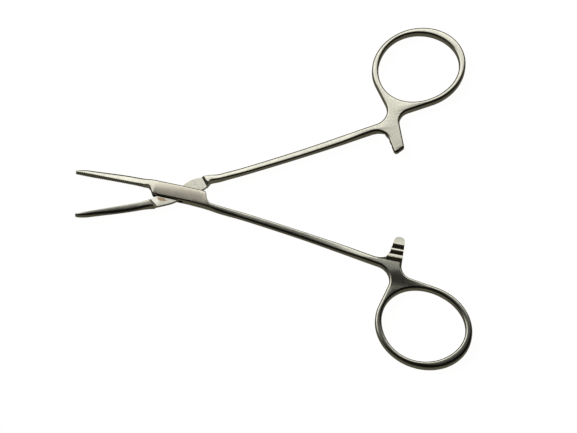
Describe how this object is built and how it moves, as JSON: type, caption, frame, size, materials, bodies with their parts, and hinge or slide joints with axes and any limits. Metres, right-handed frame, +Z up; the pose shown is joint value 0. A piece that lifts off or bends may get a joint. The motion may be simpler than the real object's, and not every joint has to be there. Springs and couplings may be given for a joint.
{
  "type": "mosquito forceps",
  "caption": "Small straight haemostatic forceps: slim tapering jaws with cross grooves, a box lock, a toothed ratchet and finger rings.",
  "frame": {"origin": "on the axis of the lock's rivet, in the plane of the lock's underside, on which the forceps lie", "axes": "+X from the rivet towards the finger rings along the middle line between the halves, +Y to the ring of the half whose tongue passes through the box, +Z up along the rivet, out of the side that the picture shows"},
  "size_m": [0.1167, 0.1108, 0.0033],
  "materials": {
    "satin_steel": "satin",
    "rivet_steel": "ground"
  },
  "bodies": {
    "female_body": {"female_half": "satin_steel", "rivet": "rivet_steel"},
    "male_body": {"male_half": "satin_steel"}
  },
  "joints": [
    {"name": "lock_hinge", "type": "hinge", "parent": "female_body", "child": "male_body", "pos_m": [0, 0, 0.00165], "axis": [0, 0, 1], "range_deg": [-24, 30]}
  ]
}
